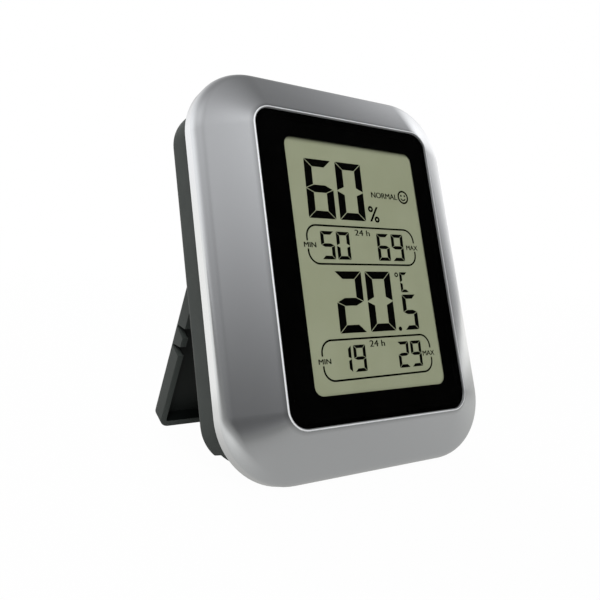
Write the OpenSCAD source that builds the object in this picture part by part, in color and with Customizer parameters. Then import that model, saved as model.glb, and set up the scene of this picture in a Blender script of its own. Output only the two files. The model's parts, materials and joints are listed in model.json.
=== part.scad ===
// Desktop thermometer and hygrometer: a bevelled front frame round a bordered display,
// a rear cover with a one-cell battery bay, two push buttons and a fold-out stand.
// Pieces are drawn upright: x across, y from the rim at the front to the back, z up from
// the middle of the body. placed() then leans the body back until it rests on its stand.

/* [Body] */
// Width of the front bezel
body_w = 76; // [72:0.5:84]
// Height of the front bezel
body_h = 96; // [92:0.5:110]
// Depth from the rim to the back
body_d = 23; // [22:0.5:27]
// Wall of the two housing mouldings
wall = 1.8; // [1.5:0.1:2.1]

/* [Bezel] */
// Width of the slope between the window and the flank
slope_w = 11.8; // [10.5:0.1:13]
// How far the slope falls back before its edge is rounded
slope_drop = 6.3; // [5.4:0.1:7]
// Rounding between the slope and the flank
edge_r = 4.2; // [3.4:0.1:4.4]
// Corner radius of the window
window_r = 4.4; // [3.6:0.1:6]
// Chamfer round the window
rim_chamfer = 0.35; // [0.2:0.05:0.6]
// Depth from the rim to the back edge of the flank
bezel_d = 11.8; // [11:0.1:12.6]
// Width of the ledge that carries the lens
ledge_w = 2; // [1.6:0.1:2.4]
// Thickness of that ledge
ledge_t = 1.6; // [1.2:0.1:1.8]

/* [Display] */
// How far the lens lies below the rim
lens_recess = 0.1; // [0.05:0.05:0.3]
// Thickness of the lens
lens_t = 0.5; // [0.4:0.1:1]
// Clearance round the lens
lens_gap = 0.1; // [0.05:0.05:0.2]
// Thickness of the printed border
mask_t = 0.1; // [0.1:0.05:0.2]
// Width of the printed border
mask_border = 6.4; // [5.8:0.1:7]
// How far the printed opening lies to the right of the middle
mask_shift = 1.1; // [0:0.1:1.3]
// How much narrower the border is at the top
mask_rise = 0.6; // [0:0.1:0.8]
// Corner radius of the printed opening
mask_r = 2.3; // [1.5:0.1:3]
// Thickness of the adhesive ring
tape_t = 0.1; // [0.1:0.05:0.2]
// Thickness of one display glass
glass_t = 0.7; // [0.5:0.05:0.8]
// Thickness of the polariser and of the reflector
film_t = 0.2; // [0.15:0.05:0.2]
// How far the polariser reaches past the printed border's opening
film_lap = 1; // [0.6:0.1:1.2]
// Width of the contact strip on the front glass
contact_w = 2.2; // [2:0.1:2.4]
// Wall of the display holder
holder_wall = 0.9; // [0.7:0.1:1]
// Lip of the display holder in front of the glass
lip_t = 0.4; // [0.3:0.05:0.5]
// Clearance between the display pieces
fit_gap = 0.15; // [0.1:0.05:0.2]
// Thickness of the foam behind the reflector
pad_t = 2.15; // [1.6:0.05:2.4]

/* [Circuit board] */
// Thickness of the board
pcb_t = 1.2; // [0.8:0.1:1.4]
// How far the board reaches past the display holder at the sides
pcb_side = 4.4; // [4.2:0.1:5]
// Height of the board's screws above and below the middle
pcb_screw_z = 29.5; // [26:0.5:31]
// Shank radius of the board's screws
pcb_screw_r = 0.8; // [0.6:0.05:0.9]
// Shank length of the board's screws
pcb_screw_len = 4.4; // [3.6:0.1:4.8]

/* [Rear cover] */
// Set-in of the cover from the bezel at each side
cover_inset_x = 1; // [0.6:0.1:1.4]
// Set-in of the cover from the bezel at top and bottom
cover_inset_z = 5.5; // [4.5:0.1:6]
// Corner radius of the cover
cover_r = 9.5; // [8:0.1:11]
// Rounding of the cover's back edge
back_r = 3.5; // [2.6:0.1:4]
// Clearance of the cover's plate inside the bezel
seat_gap = 0.15; // [0.1:0.05:0.25]
// Pitch of the vent slots
vent_pitch = 2.6; // [2.2:0.1:3]
// Width of a vent slot
vent_w = 1.3; // [0.9:0.1:1.5]
// Length of a vent slot
vent_len = 7; // [5:0.5:8]
// Distance of the vents' middle from the body's middle
vent_x = 14.5; // [13.5:0.5:15]
// Radius of the hanging hole
hang_r = 3.2; // [2.8:0.1:3.4]
// Width of the hanging slot above it
hang_slot_w = 3.4; // [3:0.1:3.6]
// How far the hanging slot rises
hang_slot_len = 4; // [3:0.5:4.5]
// Depth of the pocket behind the hanging hole
hang_depth = 3.4; // [2.6:0.1:4]

/* [Stand] */
// Height of the stand's hinge above the body's middle
hinge_z = 4.1; // [2:0.1:5]
// Radius of the hinge ear, from the pin to the stand's outer face
ear_r = 2.8; // [2.4:0.1:3]
// Width of a hinge ear
ear_w = 6; // [4:0.5:8]
// Length of the stand from its pin to its foot
stand_len = 47.6; // [44:0.2:49]
// Height of the stand's flanges
stand_t = 5; // [4:0.1:5.4]
// Thickness of the stand's skin
stand_skin = 1; // [0.8:0.1:1.6]
// Thickness of the stand's flanges
stand_wall = 1.6; // [1.2:0.1:2]
// Rounding of the stand's lower corners
stand_corner_r = 2.5; // [2.1:0.1:4]
// Rounding of the stand's outer edge
stand_edge_r = 0.8; // [0.4:0.1:1]
// Clearance round the stand in its recess
stand_gap = 0.35; // [0.25:0.05:0.5]
// How far the folded stand lies below the back
stand_sunk = 0.2; // [0.1:0.05:0.4]
// Angle of the open stand
open_angle = 43.8; // [38:0.2:48]
// Thickness of the cover beside the stand
cheek = 2.65; // [2.4:0.05:3]
// Radius of the hinge pins
pin_r = 1.6; // [1.2:0.1:1.8]
// Length of the hinge pins
pin_len = 1.6; // [1.2:0.1:1.8]
// Running clearance of the pins
pin_gap = 0.06; // [0.03:0.01:0.1]
// Distance from the pin to the snap tooth
tooth_s = 18.5; // [16:0.5:22]
// Length of the snap tooth at its root
tooth_root = 5; // [4:0.1:6]
// Length of the snap tooth at its tip
tooth_tip = 2.3; // [1.5:0.1:3]
// How far the tooth's upper side slants
tooth_slant = 1; // [0.5:0.1:1.5]
// Width of the slits beside the tooth at their root
slit_w = 0.65; // [0.5:0.05:1]
// Width of the upper slit at its mouth, above the tooth's root
slit_mouth = 2; // [1.5:0.1:2.5]
// Reach of the lower slit's mouth below the tooth's root
slit_foot = 1.2; // [0.9:0.1:1.5]
// Half width of the stop lugs
lug_half = 0.8; // [0.6:0.1:1]

/* [Battery] */
// Radius of the cell
cell_r = 5.25; // [5:0.05:5.4]
// Length of the cell with its nub
cell_len = 44.5; // [43:0.1:45]
// Clearance round the cell
cell_gap = 0.4; // [0.25:0.05:0.5]
// Length of the pressed spring
spring_len = 4.6; // [4:0.1:5]
// Turns of the spring
spring_turns = 3.5; // [3:0.5:3.5]
// Wire radius of the spring
spring_wire_r = 0.3; // [0.25:0.05:0.35]
// Thickness of the contact plates
plate_t = 0.4; // [0.3:0.05:0.5]
// Thickness of the battery door
door_t = 1.5; // [1.2:0.1:1.6]
// How far the door overlaps the bay on each side
door_lap = 1.6; // [1.2:0.1:1.8]
// Clearance round the door
door_gap = 0.2; // [0.15:0.05:0.3]

/* [Buttons] */
// Radius of a button cap
cap_r = 2.4; // [2:0.1:2.6]
// How far a cap stands out of the back
cap_proud = 0.3; // [0.2:0.1:0.6]
// Travel of a button
button_travel = 0.5; // [0.3:0.1:0.6]
// Radius of a button's stem
stem_r = 1.4; // [1.1:0.1:1.6]
// Place of the unit button across the back
unit_x = -19; // [-20:0.2:-18.4]
// Place of the reset button across the back
reset_x = -9.6; // [-10:0.2:-9.2]

/* [Case screws] */
// Shank radius of the case screws
case_screw_r = 1.1; // [0.9:0.05:1.2]
// Shank length of the case screws
case_screw_len = 8; // [7:0.5:8.5]
// Radius of the case screws' heads
case_head_r = 2.1; // [1.9:0.1:2.2]
// Distance of the case screws from the body's middle plane
case_screw_x = 24.6; // [22:0.2:25]

/* [Hidden] */
$fn = 96;

cut = 1;          // overshoot of a cut past a face
loose_r = 0.3;    // clearance of a cap in its hole
sides = [-1, 1];
corners = [[-1, -1], [1, -1], [-1, 1], [1, 1]];

// Front frame
bezel_hw = body_w / 2;
bezel_hh = body_h / 2;
corner_r = window_r + slope_w;
window_hw = bezel_hw - slope_w;
window_hh = bezel_hh - slope_w;
slope_a = atan2(slope_drop, slope_w - rim_chamfer);
edge_t = edge_r * tan((90 - slope_a) / 2);
ledge_front = lens_recess + lens_t + mask_t + tape_t;
ledge_back = ledge_front + ledge_t;
ledge_hw = window_hw - ledge_w;
ledge_hh = window_hh - ledge_w;

// Display stack, from the lens inwards
lens_back = lens_recess + lens_t;
mask_hw = window_hw - mask_border;
mask_hh = window_hh - mask_border;
lip_front = lens_back + mask_t + fit_gap;
glass_front = lip_front + lip_t;
glass_mid = glass_front + glass_t;
glass_back = glass_mid + glass_t;
reflector_back = glass_back + film_t;
pcb_front = reflector_back + pad_t;
pcb_back = pcb_front + pcb_t;
film_hw = mask_hw + mask_shift + film_lap;
film_hh = mask_hh + film_lap;
holder_hw = ledge_hw - fit_gap;
holder_hh = ledge_hh - fit_gap;
glass_hw = holder_hw - holder_wall - fit_gap / 2;
glass_hh = holder_hh - holder_wall - fit_gap / 2;
rear_glass_hh = glass_hh - contact_w;
film_r = 0.5;
holder_r = window_r - ledge_w - fit_gap;

// Circuit board
pcb_hw = holder_hw + pcb_side;
pcb_hh = holder_hh + fit_gap;
pcb_screw_out = 2.6;
pcb_screw_x = holder_hw + pcb_screw_out;
pcb_boss_r = 2;
pcb_head_r = 1.7;
pcb_head_t = 1.2;
screw_slack = 0.05;
peg_r = 0.8;
peg_z = 12;
lug_reach = 3.2;
peg_half = 2;
peg_tip = 0.3;
pcb_r = 1.5;
hole_slack = 0.2;
boss_root = 0.1;
pilot_spare = 0.3;
chip_z = -6;
blob_r = 6.5;
blob_h = 1.4;
crystal_x = 12;
crystal_z = -16;
can_r = 1;
can_len = 6;
can_leg = 1.5;
can_leg_r = 0.2;
sensor_w = 3;
sensor_h = 1;
bead_r = 1.1;
bead_lift = 3;
bead_leg_r = 0.25;
bead_step = 6;
smd_l = 1.6;
smd_h = 0.6;
smd_w = 0.8;
smd_x = 12;
smd_z = -2;
smd_pitch = 3;

// Rear cover
cover_hw = bezel_hw - cover_inset_x;
cover_hh = bezel_hh - cover_inset_z;
cavity_hw = cover_hw - wall;
cavity_hh = cover_hh - wall;
cavity_r = cover_r - wall;
back_in = body_d - wall;
plug_t = wall;
plug_front = bezel_d - plug_t;
plug_hw = bezel_hw - wall - seat_gap;
plug_hh = bezel_hh - wall - seat_gap;
plug_r = corner_r - wall - seat_gap;

// Stand and its recess
pivot_y = body_d - stand_sunk - ear_r;
recess_floor = pivot_y - ear_r - stand_gap;
stand_hw = cover_hw - cheek - stand_gap;
recess_hw = stand_hw + stand_gap;
stop_gap = 0.1;
lug_r = (pivot_y - recess_floor - stop_gap - lug_half * cos(open_angle)) / sin(open_angle);
recess_top = hinge_z + norm([lug_r, lug_half]) + stand_gap;
liner_t = 1.5;

// Battery bay and door
bay_hl = (cell_len + spring_len + 2 * plate_t + 2 * fit_gap) / 2;
bay_hz = cell_r + cell_gap;
seat_rim = 0.4;
bay_wall = door_lap + door_gap + seat_rim;
bay_hx_out = bay_hl + bay_wall;
bay_hz_out = bay_hz + bay_wall;
bay_space = 1.2;
bay_z = recess_top + liner_t + bay_space + bay_hz_out;
door_in = body_d - fit_gap / 3 - door_t;
cell_y = door_in - cell_gap / 2 - cell_r;
bay_floor = cell_y - cell_r - cell_gap / 2;
bay_floor_t = 1.2;
door_hl = bay_hl + door_lap;
door_hz = bay_hz + door_lap;
door_low = bay_z - door_hz;
groove_len = 14;
groove_w = 0.6;
groove_depth = 0.3;
groove_pitch = 1.4;
groove_inset = 2.2;
groove_z = bay_z + door_hz - groove_inset;
tab_x = 16;
tab_hw = 2.5;
tab_len = 1.6;
tab_t = 0.9;
tab_top = back_in - stop_gap;
tab_room = 2.8;
tab_root = 1;
door_r = 1.5;
scoop_r = 8;
scoop_depth = 1;
tail_hw = 1.5;
tail_reach = 0.7;
plate_inset = 0.6;

// The row of buttons, hanging hole and vents above the bay
row_rise = 5.6;
row_z = bay_z + bay_hz_out + row_rise;
button_x = [unit_x, reset_x];
collar_lap = 0.65;
collar_r = cap_r + collar_lap;
sleeve_in = collar_r + loose_r;
sleeve_wall = 1.05;
sleeve_r = sleeve_in + sleeve_wall;
cap_edge = 0.3;
stem_slack = 0.1;
collar_t = 0.9;
collar_top = back_in - loose_r;
sleeve_floor_t = 1.2;
switch_rise = 5.4;
stem_end = pcb_back + switch_rise;
sleeve_floor = stem_end + 1.5 * button_travel;
switch_w = 4.5;
switch_h = 3.6;
plunger_r = 1.2;
plunger_top = stem_end - button_travel - stem_slack;
pocket_slack = 0.4;
pocket_in = hang_r + pocket_slack;
pocket_wall = 1;
vent_count = 5;

// Case screws
case_boss_wall = 1.6;
case_boss_r = case_screw_r + case_boss_wall;
boss_gap = 0.5;
case_screw_z = pcb_hh + boss_gap + case_boss_r;
case_boss_top = plug_front;
case_seat_t = 2;
case_seat = plug_front + case_seat_t;
case_head_t = 1.6;
well_r = case_head_r + loose_r;
well_wall = 1;

// The lean that lets the bezel's heel and the stand's foot share one level
function turned(p) = [p[0] * cos(open_angle) - p[1] * sin(open_angle),
                      p[0] * sin(open_angle) + p[1] * cos(open_angle)];
heel = [bezel_d, -bezel_hh];
foot_front = [pivot_y, hinge_z] + turned([ear_r - stand_t, -stand_len]);
foot_rear = [pivot_y, hinge_z] + turned([ear_r - stand_edge_r, stand_edge_r - stand_len]);
lean = atan2(foot_front[1] - heel[1], foot_front[0] - heel[0]);
function leaned(p) = [p[0] * cos(lean) + p[1] * sin(lean), p[1] * cos(lean) - p[0] * sin(lean)];
front_most = leaned([0, -(window_hh + rim_chamfer)])[0];
rear_most = leaned(foot_rear)[0] + stand_edge_r;
ground = leaned(heel)[1];

module placed() {
  translate([0, -(front_most + rear_most) / 2, -ground]) rotate([-lean, 0, 0]) children();
}

// An x-z outline as a plate that starts at depth y0
module slab(y0, t) {
  translate([0, y0 + t, 0]) rotate([90, 0, 0]) linear_extrude(t) children();
}

// A y-z outline as a bar that starts at x0
module bar(x0, len) {
  translate([x0, 0, 0]) rotate([90, 0, 90]) linear_extrude(len) children();
}

// A round along the depth
module round_y(x, z, y0, y1, r) {
  translate([x, y0, z]) rotate([-90, 0, 0]) cylinder(h = y1 - y0, r = r);
}

// A round across the body
module round_x(x0, x1, y, z, r) {
  translate([x0, y, z]) rotate([0, 90, 0]) cylinder(h = x1 - x0, r = r);
}

// A box between two corners
module box(a, b) {
  translate(a) cube(b - a);
}

module rounded(hw, hh, r) {
  square([2 * hw, 2 * (hh - r)], center = true);
  square([2 * (hw - r), 2 * hh], center = true);
  for (c = corners) translate([c[0] * (hw - r), c[1] * (hh - r)]) circle(r);
}

// A profile of (distance from the corner's centre, depth), run round a rounded rectangle
module frame_sweep(hw, hh, r) {
  for (i = [0 : 3]) {
    across = i % 2 == 0 ? hw - r : hh - r;
    along = i % 2 == 0 ? hh - r : hw - r;
    rotate([0, 90 * i, 0]) {
      translate([across, 0, 0]) linear_extrude(2 * along, center = true) children();
      translate([across, 0, -along]) rotate([-90, 0, 0]) rotate_extrude(angle = 90) children();
    }
  }
}

// A filled tray with a rounded back edge
module tray(hw, hh, r, y0, y1, edge) {
  frame_sweep(hw, hh, r) {
    translate([0, y0]) square([r - edge, y1 - y0]);
    translate([0, y0]) square([r, y1 - y0 - edge]);
    translate([r - edge, y1 - edge]) circle(edge);
  }
  box([r - hw, y0, r - hh], [hw - r, y1, hh - r]);
}

// A tube of wire along points, with rings square to its run
function along(path, i) =
  let (d = path[min(i + 1, len(path) - 1)] - path[max(i - 1, 0)]) d / norm(d);
function ring(path, i, r, n, ref) =
  let (t = along(path, i), u = cross(ref, t) / norm(cross(ref, t)), v = cross(t, u))
  [for (k = [0 : n - 1]) path[i] + r * (cos(360 * k / n) * u + sin(360 * k / n) * v)];
module wire(path, r, n, ref) {
  last = len(path) - 1;
  points = [for (i = [0 : last]) each ring(path, i, r, n, ref)];
  walls = [for (i = [0 : last - 1], k = [0 : n - 1], half = [0, 1])
    let (a = i * n + k, b = i * n + (k + 1) % n)
    half == 0 ? [a, a + n, b] : [b, a + n, b + n]];
  caps = [[for (k = [0 : n - 1]) k], [for (k = [n - 1 : -1 : 0]) last * n + k]];
  polyhedron(points, concat(walls, caps));
}

// A pan-head screw whose head rests at depth y0 and whose shank runs towards the front
module screw(x, z, y0, shank_r, shank_len, head_r, head_t) {
  tip = shank_r;
  round_over = head_t / 3;
  translate([x, y0, z]) rotate([-90, 0, 0]) rotate_extrude()
    polygon([[0, -shank_len], [shank_r / 3, -shank_len], [shank_r, tip - shank_len], [shank_r, 0],
             [head_r, 0], [head_r, head_t - round_over], [head_r - round_over, head_t], [0, head_t]]);
}

// Front bezel
module bezel_profile() {
  rim = window_r + rim_chamfer;
  inner = window_r - ledge_w;
  thick = wall / cos(slope_a);
  edge_c = [corner_r - edge_r, slope_drop + edge_t];
  difference() {
    union() {
      polygon([[inner, ledge_front], [window_r, ledge_front], [window_r, rim_chamfer], [rim, 0],
               [corner_r - edge_t * cos(slope_a), slope_drop - edge_t * sin(slope_a)],
               edge_c, [corner_r, edge_c[1]], [corner_r, bezel_d], [inner, bezel_d]]);
      intersection() {
        translate(edge_c) circle(edge_r);
        translate([edge_c[0], 0]) square([edge_r, edge_c[1]]);
      }
    }
    polygon([[inner / 2, ledge_back], [rim + (ledge_back - thick) / tan(slope_a), ledge_back],
             [corner_r - wall, (corner_r - wall - rim) * tan(slope_a) + thick],
             [corner_r - wall, bezel_d + cut], [inner / 2, bezel_d + cut]]);
  }
}

module front_bezel() {
  seat = ledge_back - boss_root;
  color("silver") placed() difference() {
    union() {
      frame_sweep(bezel_hw, bezel_hh, corner_r) bezel_profile();
      for (c = corners) {
        round_y(c[0] * pcb_screw_x, c[1] * pcb_screw_z, seat, pcb_front, pcb_boss_r);
        round_y(c[0] * case_screw_x, c[1] * case_screw_z, seat, case_boss_top, case_boss_r);
      }
    }
    for (c = corners) {
      round_y(c[0] * pcb_screw_x, c[1] * pcb_screw_z, pcb_back - pcb_screw_len - pilot_spare,
              pcb_front + cut, pcb_screw_r + screw_slack);
      round_y(c[0] * case_screw_x, c[1] * case_screw_z, case_seat - case_screw_len - pilot_spare,
              case_boss_top + cut, case_screw_r + screw_slack);
    }
  }
}

// Display
module display_lens() {
  color("lightcyan", 0.4) placed() slab(lens_recess, lens_t)
    rounded(window_hw - lens_gap, window_hh - lens_gap, window_r - lens_gap);
}

module lens_mask() {
  color("black") placed() slab(lens_back, mask_t) difference() {
    rounded(window_hw - lens_gap, window_hh - lens_gap, window_r - lens_gap);
    translate([mask_shift, mask_rise / 2]) rounded(mask_hw, mask_hh + mask_rise / 2, mask_r);
  }
}

module lens_tape() {
  color("dimgray") placed() slab(lens_back + mask_t, tape_t) difference() {
    rounded(window_hw - 2 * lens_gap, window_hh - 2 * lens_gap, window_r - 2 * lens_gap);
    rounded(ledge_hw, ledge_hh, window_r - ledge_w);
  }
}

module lcd_polariser() {
  color("darkkhaki") placed() slab(glass_front - film_t, film_t) rounded(film_hw, film_hh, film_r);
}

module lcd_cell() {
  color("olivedrab", 0.6) placed() {
    slab(glass_front, glass_t) square([2 * glass_hw, 2 * glass_hh], center = true);
    slab(glass_mid, glass_t) square([2 * glass_hw, 2 * rear_glass_hh], center = true);
  }
}

module lcd_reflector() {
  color("gainsboro") placed() slab(glass_back, film_t) rounded(film_hw, film_hh - fit_gap, film_r);
}

module lcd_pad() {
  color("whitesmoke") placed() slab(reflector_back, pad_t)
    rounded(film_hw - film_lap, film_hh - 3 * film_lap, film_r);
}

module lcd_frame() {
  color("ivory") placed() {
    difference() {
      slab(lip_front, pcb_front - lip_front) rounded(holder_hw, holder_hh, holder_r);
      slab(glass_front, pcb_front - glass_front + cut)
        square([2 * (holder_hw - holder_wall), 2 * (holder_hh - holder_wall)], center = true);
      slab(lip_front - cut, lip_t + 2 * cut)
        rounded(film_hw + fit_gap, film_hh + fit_gap, film_r + fit_gap);
    }
    for (c = corners) {
      mid = holder_hw + lug_reach / 2;
      box([c[0] * mid - lug_reach / 2 - fit_gap, ledge_back + fit_gap, c[1] * peg_z - peg_half],
          [c[0] * mid + lug_reach / 2 + fit_gap, pcb_front, c[1] * peg_z + peg_half]);
      round_y(c[0] * mid, c[1] * peg_z, pcb_front - fit_gap, pcb_back + peg_tip, peg_r);
    }
  }
}

module zebra_strips() {
  zebra_w = contact_w - 2 * fit_gap;
  mid = rear_glass_hh + contact_w / 2;
  color("hotpink") placed() for (s = sides)
    box([-glass_hw + cut, glass_mid, s * mid - zebra_w / 2],
        [glass_hw - cut, pcb_front, s * mid + zebra_w / 2]);
}

// Circuit board and what is on it
module main_pcb() {
  color("darkgreen") placed() difference() {
    slab(pcb_front, pcb_t) rounded(pcb_hw, pcb_hh, pcb_r);
    for (c = corners) {
      round_y(c[0] * pcb_screw_x, c[1] * pcb_screw_z, pcb_front - cut, pcb_back + cut,
              pcb_screw_r + hole_slack);
      round_y(c[0] * (holder_hw + lug_reach / 2), c[1] * peg_z, pcb_front - cut, pcb_back + cut,
              peg_r + screw_slack);
    }
  }
}

module pcb_screws() {
  color("gold") placed() for (c = corners)
    screw(c[0] * pcb_screw_x, c[1] * pcb_screw_z, pcb_back, pcb_screw_r, pcb_screw_len,
          pcb_head_r, pcb_head_t);
}

module chip_blob() {
  dome_r = (blob_r * blob_r + blob_h * blob_h) / (2 * blob_h);
  color("black") placed() translate([0, pcb_back, chip_z]) rotate([-90, 0, 0]) rotate_extrude()
    intersection() {
      translate([0, blob_h - dome_r]) circle(dome_r);
      square([blob_r + cut, blob_h + cut]);
    }
}

module crystal() {
  leg_z = can_r / 2;
  color("lightgray") placed() translate([crystal_x, pcb_back, crystal_z]) {
    round_x(0, can_len, can_r, 0, can_r);
    for (s = sides) {
      round_x(-can_leg, can_r, can_r, s * leg_z, can_leg_r);
      round_y(-can_leg, s * leg_z, 0, can_r + can_leg_r, can_leg_r);
    }
  }
}

module humidity_sensor() {
  color("white") placed() difference() {
    box([vent_x - sensor_w / 2, pcb_back, row_z - sensor_w / 2],
        [vent_x + sensor_w / 2, pcb_back + sensor_h, row_z + sensor_w / 2]);
    round_y(vent_x, row_z, pcb_back + sensor_h / 2, pcb_back + sensor_h + cut, sensor_w / 5);
  }
}

module thermistor() {
  color("black") placed() translate([vent_x + bead_step, pcb_back, row_z]) {
    translate([0, bead_lift, 0]) sphere(bead_r);
    for (s = sides) round_y(s * bead_r / 2, 0, 0, bead_lift, bead_leg_r);
  }
}

module smd_parts() {
  color("tan") placed() for (i = [0 : 3], s = sides)
    translate([s * smd_x - smd_l / 2, pcb_back, smd_z - smd_pitch * i]) cube([smd_l, smd_h, smd_w]);
}

module tact_switches() {
  color("dimgray") placed() for (x = button_x) {
    box([x - switch_w / 2, pcb_back, row_z - switch_w / 2],
        [x + switch_w / 2, pcb_back + switch_h, row_z + switch_w / 2]);
    round_y(x, row_z, pcb_back + switch_h - fit_gap, plunger_top, plunger_r);
  }
}

// Rear cover
module slot_outline(r, len) {
  square([2 * r, len - 2 * r], center = true);
  for (s = sides) translate([0, s * (len / 2 - r)]) circle(r);
}

module hang_outline(r, slot_r) {
  circle(r);
  translate([0, hang_slot_len]) circle(slot_r);
  translate([-slot_r, 0]) square([2 * slot_r, hang_slot_len]);
}

module cover_inside() {
  box([-cover_hw, recess_floor - liner_t, -cover_hh],
      [cover_hw, body_d, recess_top + liner_t]);
  bay_block();
  for (x = button_x) round_y(x, row_z, sleeve_floor, body_d, sleeve_r);
  translate([0, 0, row_z]) slab(back_in - hang_depth - pocket_wall, hang_depth + pocket_wall + cut)
    hang_outline(pocket_in + pocket_wall, pocket_in + pocket_wall);
  for (c = corners)
    round_y(c[0] * case_screw_x, c[1] * case_screw_z, plug_front + stop_gap, body_d, well_r + well_wall);
}

module bay_block() {
  box([-bay_hx_out, bay_floor - bay_floor_t, bay_z - bay_hz_out],
      [bay_hx_out, back_in + cut / 2, bay_z + bay_hz_out]);
}

module cover_cuts() {
  // Stand recess, open at the bottom, and the blind holes for its pins
  box([-recess_hw, recess_floor, -bezel_hh], [recess_hw, body_d + cut, recess_top]);
  round_x(-recess_hw - pin_len - stand_gap, recess_hw + pin_len + stand_gap, pivot_y, hinge_z,
          pin_r + pin_gap);
  // Battery bay, door seat and the slots for the door's tabs
  box([-bay_hl, bay_floor, bay_z - bay_hz], [bay_hl, body_d, bay_z + bay_hz]);
  translate([0, 0, bay_z]) slab(door_in - door_gap / 4, door_t + cut)
    rounded(door_hl + door_gap, door_hz + door_gap, door_r + door_gap);
  for (s = sides) {
    half = tab_hw + door_gap;
    box([s * tab_x - half, back_in - tab_room, door_low - tab_len - door_gap],
        [s * tab_x + half, back_in, bay_z - bay_hz + cut]);
    box([s * tab_x - half, back_in - tab_room, door_low - door_gap],
        [s * tab_x + half, door_in + cut / 2, bay_z - bay_hz + cut]);
    box([s * (bay_hl - plate_t / 2) - plate_t, bay_floor - bay_floor_t - cut, bay_z - tail_hw - loose_r],
        [s * (bay_hl - plate_t / 2) + plate_t, bay_floor + cut, bay_z + tail_hw + loose_r]);
  }
  // Fingernail scoop above the door
  translate([0, body_d + scoop_r - scoop_depth, door_low + 2 * door_hz + scoop_depth])
    sphere(scoop_r);
  // Buttons
  for (x = button_x) {
    round_y(x, row_z, back_in - cut, body_d + cut, cap_r + loose_r);
    round_y(x, row_z, sleeve_floor + sleeve_floor_t, back_in, sleeve_in);
    round_y(x, row_z, sleeve_floor - cut, back_in, stem_r + stem_slack);
  }
  // Keyhole and its pocket
  translate([0, 0, row_z]) {
    slab(back_in - cut / 2, wall + cut) hang_outline(hang_r, hang_slot_w / 2);
    slab(back_in - hang_depth, hang_depth) hang_outline(pocket_in, pocket_in);
  }
  // Vents
  for (i = [0 : vent_count - 1])
    translate([vent_x + (i - (vent_count - 1) / 2) * vent_pitch, 0, row_z])
      slab(back_in - cut, wall + 2 * cut) slot_outline(vent_w / 2, vent_len);
  // Wells of the case screws
  for (c = corners) {
    round_y(c[0] * case_screw_x, c[1] * case_screw_z, case_seat, body_d + cut, well_r);
    round_y(c[0] * case_screw_x, c[1] * case_screw_z, plug_front, case_seat + cut,
            case_screw_r + hole_slack);
  }
}

module rear_cover() {
  color("darkslategray") placed() difference() {
    union() {
      tray(cover_hw, cover_hh, cover_r, bezel_d, body_d, back_r);
      slab(plug_front, plug_t) rounded(plug_hw, plug_hh, plug_r);
      bay_block();
    }
    difference() {
      tray(cavity_hw, cavity_hh, cavity_r, plug_front - cut, back_in, back_r - wall);
      cover_inside();
    }
    cover_cuts();
  }
}

module case_screws() {
  color("silver") placed() for (c = corners)
    screw(c[0] * case_screw_x, c[1] * case_screw_z, case_seat, case_screw_r, case_screw_len,
          case_head_r, case_head_t);
}

// Battery
cell_x0 = -bay_hl + plate_t + spring_len + fit_gap;
nub_len = 0.9;

module battery_cell() {
  nub_r = 1.9;
  color("goldenrod") placed() {
    round_x(cell_x0, cell_x0 + cell_len - nub_len, cell_y, bay_z, cell_r);
    round_x(cell_x0 + cell_len - nub_len - cut / 2, cell_x0 + cell_len, cell_y, bay_z, nub_r);
  }
}

// The spring tapers from its plate to the cell, from one turn to the next
spring_r0 = 3.4;
spring_r1 = 2.3;
spring_steps = 8 * spring_turns;
function spring_point(i) =
  let (f = i / spring_steps, a = 360 * spring_turns * f, r = spring_r0 + (spring_r1 - spring_r0) * f,
       x = -bay_hl + plate_t + spring_wire_r + (spring_len - 2 * spring_wire_r) * f)
  [x, cell_y + r * cos(a), bay_z + r * sin(a)];
spring_path = [for (i = [0 : spring_steps]) spring_point(i)];
spring_clear = min([for (i = [0 : spring_steps], j = [0 : spring_steps]) if (j > i + 5)
  norm(spring_path[i] - spring_path[j])]) - 2 * spring_wire_r;
echo(least_gap_between_spring_turns = spring_clear);

module contact_plate(s) {
  hz = cell_r - plate_inset;
  x = s * (bay_hl - plate_t / 2);
  box([x - plate_t / 2, bay_floor, bay_z - hz], [x + plate_t / 2, cell_y + hz, bay_z + hz]);
  box([x - plate_t / 2, bay_floor - bay_floor_t - tail_reach, bay_z - tail_hw],
      [x + plate_t / 2, bay_floor + cut, bay_z + tail_hw]);
}

module negative_contact() {
  color("lightsteelblue") placed() {
    contact_plate(-1);
    wire(spring_path, spring_wire_r, 6, [1, 0, 0]);
  }
}

module positive_contact() {
  dimple_r = 1.5;
  color("lightsteelblue") placed() {
    contact_plate(1);
    round_x(cell_x0 + cell_len, bay_hl - plate_t / 2, cell_y, bay_z, dimple_r);
  }
}

// Two short leads from the contacts' tails to the board
lead_r = 0.35;
lead_run = [[0, 1.7], [1.6, 1.7], [2.3, 1.55], [2.8, 1.05], [2.9, 0.5], [2.9, 0]];
module battery_leads() {
  tail_x = bay_hl - plate_t;
  tail_lift = bay_floor - bay_floor_t - lead_r - pcb_back;
  color("firebrick") placed() for (s = sides)
    wire([for (p = lead_run) [s * (tail_x - p[0]), pcb_back + p[1] * tail_lift / lead_run[0][1], bay_z]],
         lead_r, 8, [0, 0, 1]);
}

// Battery door
module battery_door() {
  color("darkslategray") placed() {
    difference() {
      translate([0, 0, bay_z]) slab(door_in, door_t) rounded(door_hl, door_hz, door_r);
      for (i = [0 : 2])
        box([-groove_len / 2, door_in + door_t - groove_depth, groove_z - groove_pitch * i],
            [groove_len / 2, body_d + cut, groove_z - groove_pitch * i + groove_w]);
    }
    for (s = sides) {
      box([s * tab_x - tab_hw, tab_top - tab_t, door_low - tab_len],
          [s * tab_x + tab_hw, tab_top, door_low + tab_root]);
      box([s * tab_x - tab_hw, tab_top - tab_t, door_low],
          [s * tab_x + tab_hw, door_in + cut / 4, door_low + tab_root]);
    }
  }
}

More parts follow.
